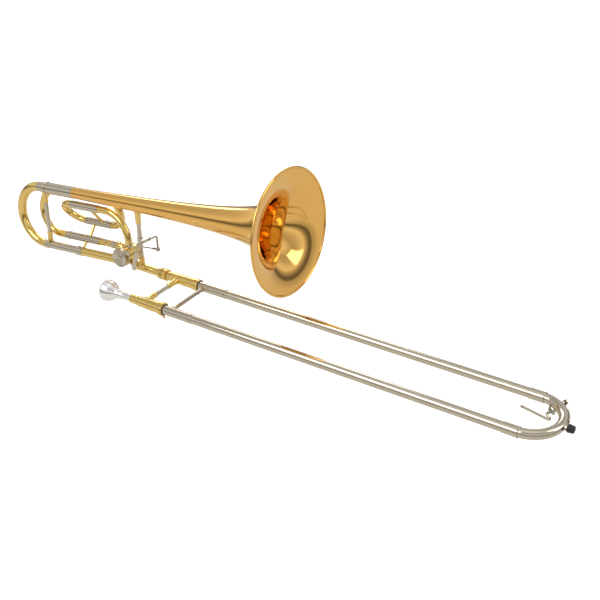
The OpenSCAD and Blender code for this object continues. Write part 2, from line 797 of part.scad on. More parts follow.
module tuning_ferrules() {
    upper_front = -upper_ring_a - 1.8 - run_gap;
    color(nickel) bell_frame() {
        tube_x(-tuning_bow_a + seat_gap, -tuning_bow_a + 10, leg_r + 0.5, leg_r + seat_gap);
        translate([0, 0, bell_height])
            tube_x(-tuning_bow_a + seat_gap, upper_front, upper_leg_r + 0.45, upper_leg_r + seat_gap);
    }
}

tuning_brace_a = -tuning_bow_a + 12;
module tuning_brace_bar() {
    color(nickel) bell_frame()
        bar([tuning_brace_a, 0, 16], [tuning_brace_a, 0, bell_height - 18], brace_bar_r - 0.2);
}

module tuning_brace_sockets() {
    bar_r = brace_bar_r - 0.2;
    color(brass) bell_frame() difference() {
        union() {
            translate([tuning_brace_a, 0, 4]) brace_socket(0, 23, bar_r + 2, bar_r + 0.9, bar_r + seat_gap);
            translate([tuning_brace_a, 0, bell_height - 4]) rotate([180, 0, 0])
                brace_socket(0, 25, bar_r + 2, bar_r + 0.9, bar_r + seat_gap);
        }
        along_x(-tuning_bow_a - 20, -100) circle(leg_r + 0.5 + seat_gap);
        translate([0, 0, bell_height]) along_x(-tuning_bow_a - 20, -100) circle(upper_leg_r + 0.45 + seat_gap);
    }
}

// ---- valve ----

module along_y(y0, y1, r) {
    translate([0, y1, 0]) rotate([90, 0, 0]) cylinder(h = y1 - y0, r = r);
}

module valve_clearance() {
    translate(valve_centre) along_y(-60, 60, casing_r + seat_gap);
}

function port(s, t) = valve_centre + [s * cos(t), 0, s * sin(t)];
port_start = rotor_r + rotor_clearance + 0.2;
elbow_r = 9.6;
f_elbow_r = 8.4;
elbow_turn = tan(22.5);

// Lower left port meets the main lower tube
ll_corner = port(valve_h / sin(45), 225);
elbow_start = ll_corner - [elbow_r * elbow_turn, 0, 0];
ul_corner = port((f_port_h - valve_h) / sin(45), 135);
ul_end = ul_corner - [12, 0, 0];
// Lower right port meets the gooseneck, which slopes away at bell_rise
lr_reach = (valve_h + valve_a * tan(bell_rise)) / (sin(45) - cos(45) * tan(bell_rise));
lr_corner = port(lr_reach, 315);
lr_dir = [cos(bell_rise), 0, -sin(bell_rise)];
lr_cut = elbow_r * tan((45 - bell_rise) / 2);
lr_end = lr_corner + lr_dir * (lr_cut + 1);
ur_top = [valve_a + 5, 0, valve_h + casing_r + 3];

module valve_elbow_lr_space() {
    rotate([0, bell_rise, 0]) along_x(-40, norm(lr_end) + seat_gap) circle(neck_r + 2);
}

// Elbows that lead out of the four ports; past lets a bore run out through their ends
module valve_elbows(main_r, f_r, past = 0) {
    rod_path([port(port_start, 225), ll_corner, elbow_start], elbow_r, main_r, past);
    rod_path([port(port_start, 315), lr_corner, lr_end], elbow_r, min(main_r, neck_r), past);
    rod_path([port(port_start, 135), ul_corner, ul_end], f_elbow_r, f_r, past);
    bar(ur_top + [0, 0, past], ur_top - [0, 0, 12], f_r);
}

module valve_casing() {
    color(brass) bell_frame() difference() {
        union() {
            translate(valve_centre) along_y(-casing_half, casing_half, casing_r);
            valve_elbows(main_tube_r, f_tube_r);
        }
        translate(valve_centre) along_y(-casing_half - 1, casing_half + 1, rotor_r + rotor_clearance);
        valve_elbows(bore_r, f_bore_r, 3);
    }
}

rotor_half = casing_half - 2;
stem_r = 3;
module rotor() {
    passage_r = 0.375 * rotor_r;
    knee = port(0.56 * rotor_r, 103);
    color(steel) bell_frame() difference() {
        translate(valve_centre) {
            along_y(-rotor_half, rotor_half, rotor_r);
            along_y(rotor_half - 1, casing_half + 8, stem_r);
            along_y(-casing_half - 0.6, -rotor_half + 1, stem_r);
        }
        translate(valve_centre - [0, 0, rotor_r * sqrt(2)]) rotate([90, 0, 0])
            rotate_extrude() translate([rotor_r, 0]) circle(passage_r);
        bar(port(rotor_r + 2, 135), knee, passage_r - 0.4);
        bar(port(rotor_r + 2, 72), knee, passage_r - 0.4);
        translate(knee) sphere(passage_r);
    }
}

module valve_cap() {
    color(nickel) bell_frame() translate(valve_centre) difference() {
        union() {
            along_y(-casing_half - 3.4, -casing_half + 6, valve_cap_r);
            along_y(-casing_half - 4.2, -casing_half - 3, valve_cap_r - 2);
            along_y(-casing_half - 5, -casing_half - 3, 3);
        }
        along_y(-casing_half - seat_gap, -casing_half + 8, casing_r + seat_gap);
        along_y(-casing_half - 1.2, -casing_half + 1, stem_r + pin_clearance);
        for (t = [0 : 10 : 350]) rotate([0, t, 0]) translate([valve_cap_r + 0.7, 0, 0])
            along_y(-casing_half + 1, -casing_half + 8, 1.1);
    }
}

plate_front = casing_half + 3.5;
module valve_back_plate() {
    color(brass) bell_frame() translate(valve_centre) difference() {
        union() {
            along_y(casing_half + seat_gap, plate_front, casing_r);
            along_y(casing_half - 1.8, casing_half + seat_gap, rotor_r - 0.5);
        }
        along_y(0, casing_half + 20, stem_r + pin_clearance);
        for (t = cork_angles) rotate([0, -t, 0]) translate([cork_reach, 0, 0])
            along_y(plate_front - 1.5, plate_front + 1, 2.2 + seat_gap);
    }
}

cork_reach = rotor_r - 3.8;
cork_angles = [5, 175];
arm_back = plate_front + run_gap;
arm_front = arm_back + 3;
module stop_arm() {
    pin = [stop_arm_r * cos(rest_pin_angle), 0, stop_arm_r * sin(rest_pin_angle)];
    color(nickel) bell_frame() translate(valve_centre) difference() {
        union() {
            along_y(arm_back, arm_front, 5.6);
            hull() {
                along_y(arm_back, arm_front, 3);
                translate(pin * 1.15) along_y(arm_back, arm_front, 2.6);
            }
            translate(pin) along_y(arm_back, lever_side - 1.6 - run_gap, 2);
        }
        along_y(0, 60, stem_r + seat_gap);
    }
}

module stop_corks() {
    color(felt_black) bell_frame() translate(valve_centre) for (t = cork_angles) rotate([0, -t, 0])
        translate([cork_reach, 0, 0]) along_y(plate_front - 1.5 + seat_gap, arm_front, 2.2);
}

// ---- F attachment ----

module f_lead_tube() {
    turn_length = 34;
    start = [ul_end[0] - seat_gap, 0, f_port_h];
    s0 = start - [12, 0, 0];
    s1 = [s0[0] - turn_length, f_low[0], f_low[1]];
    offset = norm([s1[1] - s0[1], s1[2] - s0[2]]);
    half_turn = 2 * atan(offset / turn_length);
    t = 0.45 * turn_length / (1 + cos(half_turn));
    r = t / tan(half_turn / 2);
    c0 = s0 - [t, 0, 0];
    c1 = s1 + [t, 0, 0];
    color(brass) bell_frame()
        tube_path([start, c0, c1, [f_sleeve_front + seat_gap, f_low[0], f_low[1]]], r, f_tube_r, f_bore_r);
}

module f_slide_sleeves() {
    color(nickel) bell_frame() for (p = [f_low, f_high]) {
        leg(p, -f_ring_a, f_sleeve_front, f_sleeve_r, f_sleeve_bore_r);
        translate([0, p[0], p[1]]) bead(-f_ring_a - 0.8 - seat_gap, f_sleeve_r + 0.8, f_sleeve_bore_r + 0.1, 1.6);
    }
}

f_bow_end = -f_ring_a - 9;
module f_tuning_bow() {
    color(brass) bell_frame() {
        half_bow(-f_bow_a - seat_gap, f_low, f_high, -1, f_tube_r, f_bore_r);
        for (p = [f_low, f_high]) leg(p, -f_bow_a, f_bow_end, f_tube_r, f_leg_r + seat_gap);
    }
}

module f_tuning_legs() {
    color(nickel) bell_frame() for (p = [f_low, f_high]) {
        leg(p, -f_bow_a, -f_ring_a + f_leg, f_leg_r, f_leg_r - 0.4);
        leg(p, f_bow_end + seat_gap, -f_ring_a - 1.6 - run_gap - seat_gap, f_sleeve_r - 0.2, f_leg_r - 0.1);
    }
}

module f_upper_tube() {
    color(brass) bell_frame() leg(f_high, f_sleeve_front + seat_gap, f_crook_a, f_tube_r, f_bore_r);
}

module f_front_crook() {
    color(brass) bell_frame() {
        half_bow(f_crook_a + seat_gap, f_high, f_loop_low, 1, f_tube_r, f_bore_r);
    }
}

module f_loop_tubes() {
    color(brass) bell_frame() {
        leg(f_loop_low, f_small_bow_a + seat_gap, f_crook_a, f_tube_r, f_bore_r);
        leg(f_loop_high, f_small_bow_a + seat_gap, f_drop_start - seat_gap, f_tube_r, f_bore_r);
    }
}

module f_small_bow() {
    color(brass) bell_frame() half_bow(f_small_bow_a, f_loop_low, f_loop_high, -1, f_tube_r, f_bore_r);
}

module f_drop_tube() {
    corner = [f_drop_start + f_drop_r, f_loop_high[0], f_loop_high[1]];
    foot = ur_top + [0, 0, seat_gap];
    color(brass) bell_frame() tube_path([
        [f_drop_start, f_loop_high[0], f_loop_high[1]], corner, [corner[0], f_loop_high[0], foot[2]]
    ], f_drop_r - 0.01, f_tube_r, f_bore_r);
}

module f_ferrules() {
    tight = f_tube_r + seat_gap;
    color(nickel) bell_frame() {
        leg(f_loop_low, f_small_bow_a + 1, -61.9, f_sleeve_r, tight);
        translate([0, f_loop_low[0], f_loop_low[1]]) bead(-61, f_sleeve_r + 0.7, tight, 1.6);
        leg(f_loop_low, -60.1, f_crook_a - 1, f_sleeve_r, tight);
        leg(f_loop_high, f_small_bow_a + 4, f_drop_start - 15, f_sleeve_r, tight);
        leg(f_high, f_crook_a - 15, f_crook_a - 1, f_sleeve_r, tight);
        leg([0, f_port_h], ul_end[0] - 9, ul_end[0] + 3, f_sleeve_r, tight);
        translate(ur_top - [0, 0, 2.6]) linear_extrude(5.4) annulus(f_sleeve_r, tight);
    }
    color(brass) bell_frame() leg(f_low, f_sleeve_front + seat_gap, f_sleeve_front + 5, f_sleeve_r, tight);
}

// Plain post between two round tubes at [y, h], trimmed to fit them
module post(a, p, q, r, rp, rq) {
    difference() {
        bar([a, p[0], p[1]], [a, q[0], q[1]], r);
        translate([0, p[0], p[1]]) along_x(a - 20, a + 20) circle(rp + seat_gap);
        translate([0, q[0], q[1]]) along_x(a - 20, a + 20) circle(rq + seat_gap);
    }
}

module f_braces() {
    color(brass) bell_frame() {
        post(-69, f_loop_low, f_loop_high, 2.6, f_sleeve_r, f_sleeve_r);
        post(-93, f_loop_low, f_low, 3, f_sleeve_r, f_sleeve_r);
        post(-98, [0, 0], f_low, 2.6, main_tube_r + 0.6, f_sleeve_r);
        difference() {
            bar([-108, 0, bell_height], [-108, f_high[0], f_high[1]], 2.6);
            translate([0, 0, bell_height]) along_x(-140, -90) circle(upper_sleeve_r - 0.3 + seat_gap);
            translate([0, f_high[0], f_high[1]]) along_x(-140, -90) circle(f_sleeve_r + seat_gap);
        }
    }
}

// ---- thumb lever ----

hinge_half = 7;
hinge_r = 3.2;
module lever_hinge() {
    color(nickel) bell_frame() difference() {
        union() {
            translate(lever_axle) along_y(-hinge_half, hinge_half, hinge_r);
            hull() {
                translate(lever_axle - [2, 0, 0]) cube([2, 8, 5], center = true);
                translate([brace_a, 0, lever_axle[2]]) cube([3, 9, 8], center = true);
            }
            translate([brace_a, 0, lever_axle[2] - 5]) cylinder(h = 10, r = brace_bar_r + 1);
        }
        translate([brace_a, 0, 0]) cylinder(h = 100, r = brace_bar_r + seat_gap);
        translate(lever_axle) along_y(-30, 30, lever_rod_r + pin_clearance);
    }
}

module thumb_lever() {
    top = lever_axle + [0, -hinge_half - 4, 0];
    end = [joint_start[0], lever_side, joint_start[2]];
    elbow = [lever_axle[0], lever_side, lever_axle[2]];
    paddle_top = [66, -24, 34];
    paddle_foot = [55.5, -24, 0];
    paddle_height = paddle_top[2] - paddle_foot[2];
    color(nickel) bell_frame() {
        rod_path([end, elbow, [top[0], -24, top[2]], paddle_top - [0, 0, 3]], 5, lever_rod_r);
        translate(paddle_top) rotate([90, 0, 0]) rotate([0, 0, -atan((paddle_top[0] - paddle_foot[0]) / paddle_height)])
            translate([0, 0, -1]) linear_extrude(2) hull() {
                circle(2.6, $fn = 32);
                translate([0, -paddle_height * 0.45]) circle(4.8, $fn = 32);
                translate([0, -paddle_height]) circle(4.4, $fn = 32);
            }
        for (s = [-1, 1]) translate(lever_axle) along_y(s * (hinge_half + run_gap + 1) - 1, s * (hinge_half + run_gap + 1) + 1, 3);
        translate(end) sphere(3);
    }
}

module lever_spring() {
    color(steel) bell_frame() translate(lever_axle) for (i = [0 : 3])
        translate([0, hinge_half + 2 * run_gap + 3.2 + i, 0]) rotate([90, 0, 0])
            rotate_extrude() translate([lever_rod_r + 0.9, 0]) circle(0.4, $fn = 16);
}

module valve_link() {
    pin = valve_centre + [stop_arm_r * cos(rest_pin_angle), lever_side, stop_arm_r * sin(rest_pin_angle)];
    ball = [joint_start[0], lever_side, joint_start[2]];
    v = unit(ball - pin);
    color(steel) bell_frame() {
        difference() {
            union() {
                bar(pin, ball, 1.1);
                for (s = [8, 10.4]) bar(pin + v * s, pin + v * (s + 1.8), 2.3, $fn = 6);
                bar(ball - v * 11, ball - v * 8, 2.3, $fn = 6);
                translate(ball) sphere(4.4);
            }
            translate(ball) sphere(3 + pin_clearance);
            translate(ball) cylinder(h = 10, r = 3.6);
        }
        translate(pin) along_y(-1.6, 1.6, 3.4);
    }
}

left_barrel();
right_barrel();
slide_receiver();
mouthpiece_receiver();
barrel_felts();
left_inner_tube();
right_inner_tube();
stockings();
inner_brace_bar();
inner_brace_sockets();
slide_lock_ring();
left_outer_tube();
right_outer_tube();
outer_tube_sleeves();
outer_brace();
end_ferrules();
end_bow();
bow_guard();
bumper_cup();
rubber_bumper();
water_key_nipple();
water_key_saddle();
water_key_spring();
water_key_lever();
water_key_cork();
mouthpiece();
lock_nut();
gooseneck();
bell();
bell_rim_wire();
bell_brace_bar();
bell_brace_fittings();
main_lower_tube();
tuning_sleeves();
tuning_bow();
tuning_legs();
tuning_ferrules();
tuning_brace_bar();
tuning_brace_sockets();
valve_casing();
rotor();
valve_cap();
valve_back_plate();
stop_arm();
stop_corks();
f_lead_tube();
f_slide_sleeves();
f_tuning_bow();
f_tuning_legs();
f_upper_tube();
f_front_crook();
f_loop_tubes();
f_small_bow();
f_drop_tube();
f_ferrules();
f_braces();
lever_hinge();
thumb_lever();
lever_spring();
valve_link();
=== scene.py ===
"""Tenor trombone with an F attachment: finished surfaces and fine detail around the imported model."""

import json
import math

import bmesh
import bpy
from mathutils import Matrix, Vector


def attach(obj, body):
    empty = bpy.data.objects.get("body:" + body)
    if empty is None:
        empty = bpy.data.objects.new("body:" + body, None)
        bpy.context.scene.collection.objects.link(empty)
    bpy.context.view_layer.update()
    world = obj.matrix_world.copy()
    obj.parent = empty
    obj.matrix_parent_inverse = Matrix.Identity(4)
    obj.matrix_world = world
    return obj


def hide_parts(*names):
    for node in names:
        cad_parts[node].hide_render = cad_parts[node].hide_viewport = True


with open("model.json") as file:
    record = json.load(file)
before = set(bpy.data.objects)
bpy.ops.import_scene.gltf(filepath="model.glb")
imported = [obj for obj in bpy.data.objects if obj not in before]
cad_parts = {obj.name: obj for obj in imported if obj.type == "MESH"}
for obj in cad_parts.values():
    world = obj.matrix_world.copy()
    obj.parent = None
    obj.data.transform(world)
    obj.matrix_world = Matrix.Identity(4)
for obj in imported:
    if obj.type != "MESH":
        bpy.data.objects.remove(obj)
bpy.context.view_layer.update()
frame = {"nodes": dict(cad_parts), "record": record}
nodes = frame["nodes"]
MM = 0.001


# ---- places ----

BELL_FRAME = (
    Matrix.Translation((-0.1413, 0.048, 0))
    @ Matrix.Rotation(math.radians(-6.65), 4, "X")
    @ Matrix.Rotation(math.radians(-4.72), 4, "Y")
)
SLIDE_FRAME = Matrix.Identity(4)
VALVE_A, VALVE_H = 21, 14.5
FLOOR_Z = -0.32
FLOOR_HALF = 14
SLIDE_HALF = 48


# ---- camera, light and floor ----

def look_at_trombone():
    eye = Vector((1.0899, -1.1517, 0.8930))
    right = Vector((0.834445, 0.550517, -0.025154))
    up = Vector((-0.260649, 0.434471, 0.862147))
    back = right.cross(up)
    data = bpy.data.cameras.new("camera")
    data.lens = 61.49
    data.sensor_width = 36
    data.shift_x = -0.0093
    data.shift_y = -0.0020
    data.clip_start = 0.05
    data.clip_end = 60
    camera = bpy.data.objects.new("camera", data)
    bpy.context.scene.collection.objects.link(camera)
    camera.rotation_mode = "QUATERNION"
    camera.rotation_quaternion = Matrix((right, up, back)).transposed().to_quaternion()
    camera.location = eye
    bpy.context.scene.camera = camera


def soft_box(name, place, aim, width, height, power):
    data = bpy.data.lights.new(name, "AREA")
    data.shape = "RECTANGLE"
    data.size = width
    data.size_y = height
    data.energy = power
    light = bpy.data.objects.new(name, data)
    bpy.context.scene.collection.objects.link(light)
    light.location = place
    light.rotation_euler = (Vector(aim) - Vector(place)).to_track_quat("-Z", "Y").to_euler()


def studio():
    world = bpy.data.worlds.new("studio")
    bpy.context.scene.world = world
    world.use_nodes = True
    tree = world.node_tree
    tree.nodes.clear()
    place = tree.nodes.new("ShaderNodeTexCoord")
    split = tree.nodes.new("ShaderNodeSeparateXYZ")
    tree.links.new(place.outputs["Generated"], split.inputs[0])
    ramp = tree.nodes.new("ShaderNodeValToRGB")
    height = tree.nodes.new("ShaderNodeMapRange")
    height.inputs["From Min"].default_value = -1
    tree.links.new(split.outputs["Z"], height.inputs["Value"])
    tree.links.new(height.outputs[0], ramp.inputs[0])
    stops = [(0.0, 0.7), (0.46, 0.6), (0.49, 0.2), (0.53, 0.14), (0.58, 0.42), (0.65, 0.92), (0.8, 0.6),
             (0.9, 0.5), (1.0, 1.0)]
    ramp.color_ramp.elements[0].position = stops[0][0]
    ramp.color_ramp.elements[1].position = stops[-1][0]
    for position, _ in stops[1:-1]:
        ramp.color_ramp.elements.new(position)
    for element, (_, value) in zip(ramp.color_ramp.elements, stops):
        element.color = (value, value, value * 1.01, 1)
    background = tree.nodes.new("ShaderNodeBackground")
    background.inputs["Strength"].default_value = 1.0
    tree.links.new(ramp.outputs["Color"], background.inputs["Color"])
    output = tree.nodes.new("ShaderNodeOutputWorld")
    tree.links.new(background.outputs[0], output.inputs[0])

    soft_box("key", (-0.6, -2.2, 2.4), (0.2, 0, 0), 2.2, 1.4, 40)
    soft_box("fill", (2.4, 1.0, 1.8), (0.3, 0, 0), 1.2, 2.0, 16)
    soft_box("rim", (-1.6, 2.2, 1.6), (0.0, 0, 0.1), 2.0, 0.8, 18)
    bpy.context.scene.view_settings.view_transform = "Standard"


def floor():
    mesh = bpy.data.meshes.new("floor")
    corners = [(x * FLOOR_HALF, y * FLOOR_HALF, FLOOR_Z) for x, y in ((-1, -1), (1, -1), (1, 1), (-1, 1))]
    mesh.from_pydata(corners, [], [(0, 1, 2, 3)])
    piece = bpy.data.objects.new("floor", mesh)
    bpy.context.scene.collection.objects.link(piece)
    white = bpy.data.materials.new("studio_floor")
    white.use_nodes = True
    paint = white.node_tree.nodes["Principled BSDF"]
    paint.inputs["Base Color"].default_value = (0.72, 0.7, 0.66, 1)
    paint.inputs["Roughness"].default_value = 0.9
    paint.inputs["Emission Color"].default_value = (1, 1, 1, 1)
    seen = white.node_tree.nodes.new("ShaderNodeLightPath")
    glow = white.node_tree.nodes.new("ShaderNodeMath")
    glow.operation = "MULTIPLY"
    glow.inputs[1].default_value = 0.62
    white.node_tree.links.new(seen.outputs["Is Camera Ray"], glow.inputs[0])
    white.node_tree.links.new(glow.outputs[0], paint.inputs["Emission Strength"])
    piece.data.materials.append(white)


# ---- finishes ----

def new_group(name, inputs, outputs):
    group = bpy.data.node_groups.new(name, "ShaderNodeTree")
    for label, kind, value in inputs:
        socket = group.interface.new_socket(label, in_out="INPUT", socket_type=kind)
        socket.default_value = value
    for label, kind in outputs:
        group.interface.new_socket(label, in_out="OUTPUT", socket_type=kind)
    start = group.nodes.new("NodeGroupInput")
    end = group.nodes.new("NodeGroupOutput")
    return group, start, end


def link(tree, a, b):
    tree.links.new(a, b)


def handling_marks_group():
    """Roughness and tone that wander a little, as on handled polished metal."""
    group, start, end = new_group(
        "Handling marks",
        [("Coarse scale", "NodeSocketFloat", 30), ("Fine scale", "NodeSocketFloat", 400),
         ("Low roughness", "NodeSocketFloat", 0.06), ("High roughness", "NodeSocketFloat", 0.16),
         ("Colour", "NodeSocketColor", (0.8, 0.6, 0.3, 1)), ("Shade", "NodeSocketColor", (0.7, 0.5, 0.2, 1))],
        [("Roughness", "NodeSocketFloat"), ("Colour", "NodeSocketColor"), ("Height", "NodeSocketFloat")])
    place = group.nodes.new("ShaderNodeTexCoord")
    cloud = group.nodes.new("ShaderNodeTexNoise")
    cloud.inputs["Detail"].default_value = 4
    cloud.inputs["Roughness"].default_value = 0.6
    fine = group.nodes.new("ShaderNodeTexNoise")
    fine.inputs["Detail"].default_value = 2
    for noise, label in ((cloud, "Coarse scale"), (fine, "Fine scale")):
        link(group, place.outputs["Object"], noise.inputs["Vector"])
        link(group, start.outputs[label], noise.inputs["Scale"])
    wander = group.nodes.new("ShaderNodeMapRange")
    wander.inputs["From Min"].default_value = 0.3
    wander.inputs["From Max"].default_value = 0.75
    link(group, cloud.outputs["Fac"], wander.inputs["Value"])
    link(group, start.outputs["Low roughness"], wander.inputs["To Min"])
    link(group, start.outputs["High roughness"], wander.inputs["To Max"])
    link(group, wander.outputs[0], end.inputs["Roughness"])
    tone = group.nodes.new("ShaderNodeMix")
    tone.data_type = "RGBA"
    link(group, cloud.outputs["Fac"], tone.inputs["Factor"])
    link(group, start.outputs["Colour"], tone.inputs["A"])
    link(group, start.outputs["Shade"], tone.inputs["B"])
    link(group, tone.outputs["Result"], end.inputs["Colour"])
    link(group, fine.outputs["Fac"], end.inputs["Height"])
    return group


def crevice_shade_group():
    """Colour that darkens in crevices: painted shade, laid where the hollows fall into shadow."""
    group, start, end = new_group(
        "Crevice painted shade",
        [("Colour", "NodeSocketColor", (0.8, 0.6, 0.3, 1)), ("Crevice", "NodeSocketColor", (0.3, 0.2, 0.1, 1)),
         ("Strength", "NodeSocketFloat", 0.5)],
        [("Colour", "NodeSocketColor")])
    geometry = group.nodes.new("ShaderNodeNewGeometry")
    # Low Pointiness drives the darkening towards the crevice colour: painted shade in concave places.
    hollow = group.nodes.new("ShaderNodeMapRange")
    hollow.inputs["From Min"].default_value = 0.49
    hollow.inputs["From Max"].default_value = 0.40
    link(group, geometry.outputs["Pointiness"], hollow.inputs["Value"])
    scale = group.nodes.new("ShaderNodeMath")
    scale.operation = "MULTIPLY"
    link(group, hollow.outputs[0], scale.inputs[0])
    link(group, start.outputs["Strength"], scale.inputs[1])
    tone = group.nodes.new("ShaderNodeMix")
    tone.data_type = "RGBA"
    link(group, scale.outputs[0], tone.inputs["Factor"])
    link(group, start.outputs["Colour"], tone.inputs["A"])
    link(group, start.outputs["Crevice"], tone.inputs["B"])
    link(group, tone.outputs["Result"], end.inputs["Colour"])
    return group


def lathe_marks_group():
    """Fine rings left by the lathe on a flat face, round a point of its axis."""
    group, start, end = new_group(
        "Lathe marks",
        [("Axis point", "NodeSocketVector", (0, 0, 0)), ("Pitch", "NodeSocketFloat", 2500)],
        [("Height", "NodeSocketFloat")])
    geometry = group.nodes.new("ShaderNodeTexCoord")
    away = group.nodes.new("ShaderNodeVectorMath")
    away.operation = "DISTANCE"
    link(group, geometry.outputs["Object"], away.inputs[0])
    link(group, start.outputs["Axis point"], away.inputs[1])
    turns = group.nodes.new("ShaderNodeMath")
    turns.operation = "MULTIPLY"
    link(group, away.outputs["Value"], turns.inputs[0])
    link(group, start.outputs["Pitch"], turns.inputs[1])
    wave = group.nodes.new("ShaderNodeMath")
    wave.operation = "SINE"
    link(group, turns.outputs[0], wave.inputs[0])
    link(group, wave.outputs[0], end.inputs["Height"])
    return group


HANDLING = handling_marks_group()
CREVICE_SHADE = crevice_shade_group()
LATHE = lathe_marks_group()


def place_group(material, group, **values):
    node = material.node_tree.nodes.new("ShaderNodeGroup")
    node.node_tree = group
    for label, value in values.items():
        node.inputs[label.replace("_", " ")].default_value = value
    return node


def polished_metal(name, colour, shade, crevice_shade, low, high, coarse=25, fine=900, bump=0.02, lacquer=0.0):
    material = bpy.data.materials.new(name)
    material.use_nodes = True
    tree = material.node_tree
    surface = tree.nodes["Principled BSDF"]
    surface.inputs["Metallic"].default_value = 1
    surface.inputs["Coat Weight"].default_value = lacquer
    surface.inputs["Coat Roughness"].default_value = 0.04
    marks = place_group(material, HANDLING, Coarse_scale=coarse, Fine_scale=fine, Low_roughness=low,
                        High_roughness=high, Colour=(*colour, 1), Shade=(*shade, 1))
    # Crevices are darkened towards the crevice colour: painted shade.
    corners = place_group(material, CREVICE_SHADE, Crevice=(*crevice_shade, 1), Strength=0.7)
    link(tree, marks.outputs["Colour"], corners.inputs["Colour"])
    link(tree, corners.outputs["Colour"], surface.inputs["Base Color"])
    link(tree, marks.outputs["Roughness"], surface.inputs["Roughness"])
    ripple = tree.nodes.new("ShaderNodeBump")
    ripple.inputs["Strength"].default_value = bump
    ripple.inputs["Distance"].default_value = 0.0005
    link(tree, marks.outputs["Height"], ripple.inputs["Height"])
    link(tree, ripple.outputs["Normal"], surface.inputs["Normal"])
    return material


def dull_black(name, colour, shade, low, high, coarse, fine, bump, sheen=0.0):
    # Here the shade colour also serves as the painted crevice shade.
    material = polished_metal(name, colour, shade, shade, low, high, coarse, fine, bump)
    surface = material.node_tree.nodes["Principled BSDF"]
    surface.inputs["Metallic"].default_value = 0
    surface.inputs["Sheen Weight"].default_value = sheen
    return material


# The third colour of each metal is the painted shade laid into its crevices.
FINISH = {
    "brass": polished_metal("lacquered_brass", (0.86, 0.63, 0.22), (0.8, 0.56, 0.16), (0.28, 0.15, 0.03),
                            0.07, 0.17, lacquer=0.25),
    "gold_brass": polished_metal("lacquered_gold_brass", (0.9, 0.54, 0.15), (0.84, 0.46, 0.11), (0.28, 0.11, 0.03),
                                 0.06, 0.13, coarse=12, lacquer=0.25),
    "nickel_silver": polished_metal("polished_nickel_silver", (0.62, 0.56, 0.45), (0.55, 0.48, 0.37),
                                    (0.18, 0.15, 0.11), 0.06, 0.15),
    "silver_plate": polished_metal("silver_plate", (0.94, 0.93, 0.91), (0.88, 0.87, 0.84), (0.4, 0.38, 0.34),
                                   0.04, 0.1),
    "steel": polished_metal("plain_steel", (0.48, 0.47, 0.46), (0.38, 0.37, 0.36), (0.1, 0.09, 0.08), 0.22, 0.38,
                            bump=0.1),
    "black_rubber": dull_black("moulded_rubber", (0.012, 0.012, 0.013), (0.022, 0.022, 0.022),
                               0.45, 0.62, 60, 1400, 0.3),
    "black_cork": dull_black("synthetic_cork", (0.02, 0.018, 0.017), (0.035, 0.03, 0.028),
                             0.7, 0.9, 120, 1800, 0.6),
    "black_felt": dull_black("pressed_felt", (0.02, 0.02, 0.02), (0.04, 0.04, 0.04),
                             0.9, 1.0, 200, 2500, 0.8, sheen=0.6),
}


def lathe_turned(name, slot_finish, axis_point):
    """The same metal with lathe rings round a point, for caps and plates."""
    material = FINISH[slot_finish].copy()
    material.name = name
    tree = material.node_tree
    surface = tree.nodes["Principled BSDF"]
    rings = place_group(material, LATHE, Axis_point=axis_point, Pitch=2600)
    ripple = tree.nodes.new("ShaderNodeBump")
    ripple.inputs["Strength"].default_value = 0.35
    ripple.inputs["Distance"].default_value = 0.0006
    link(tree, rings.outputs["Height"], ripple.inputs["Height"])
    link(tree, ripple.outputs["Normal"], surface.inputs["Normal"])
    return material


def dress_cad_nodes():
    slots = {part["node"]: part["material_slot"] for part in frame["record"]["subparts"]}
    for name, piece in nodes.items():
        piece.data.materials.clear()
        piece.data.materials.append(FINISH[slots[name]])
    for name, side in (("valve_cap", -24), ("valve_back_plate", 22.5)):
        centre = BELL_FRAME @ Vector((VALVE_A * MM, side * MM, VALVE_H * MM))
        nodes[name].data.materials[0] = lathe_turned(name + "_metal", slots[name], centre)


# ---- making pieces ----

def finish_piece(name, mesh, slot, body, replaced=(), sharp=35):
    mesh.validate()
    for face in mesh.polygons:
        face.use_smooth = True
    mesh.set_sharp_from_angle(angle=math.radians(sharp))
    piece = bpy.data.objects.new(name, mesh)
    bpy.context.scene.collection.objects.link(piece)
    piece.data.materials.append(FINISH[slot])
    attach(piece, body)
    if replaced:
        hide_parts(*replaced)


def rings_mesh(name, rings):
    """Skin through rings of points, with the last ring joined to the first."""
    count = len(rings[0])
    points = [p for ring in rings for p in ring]
    faces = []
    for i in range(len(rings)):
        a, b = i * count, ((i + 1) % len(rings)) * count
        for k in range(count):
            n = (k + 1) % count
            faces.append((a + k, a + n, b + n, b + k))
    mesh = bpy.data.meshes.new(name)
    mesh.from_pydata([tuple(p) for p in points], [], faces)
    outward = bmesh.new()
    outward.from_mesh(mesh)
    bmesh.ops.recalc_face_normals(outward, faces=outward.faces)
    outward.to_mesh(mesh)
    outward.free()
    return mesh


def turned(profile, sides, place, name):
    """Closed (x, radius) profile in millimetres turned about the X axis of place."""
    rings = []
    for x, r in profile:
        ring = []
        for k in range(sides):
            t = 2 * math.pi * k / sides
            ring.append(place @ Vector((x * MM, r * MM * math.cos(t), r * MM * math.sin(t))))
        rings.append(ring)
    return rings_mesh(name, rings)


def swept(stations, wall, sides, place, name):
    """Tube through (centre, direction, side, radius) stations in millimetres."""
    def ring(centre, direction, side, r):
        along = Vector(direction).normalized()
        across = Vector(side).normalized()
        third = along.cross(across)
        return [place @ ((Vector(centre) + (across * math.cos(t) + third * math.sin(t)) * r) * MM)
                for t in (2 * math.pi * k / sides for k in range(sides))]
    outer = [ring(c, d, s, r) for c, d, s, r in stations]
    inner = [ring(c, d, s, r - wall) for c, d, s, r in reversed(stations)]
    return rings_mesh(name, outer + inner)


# ---- tubes and bows ----

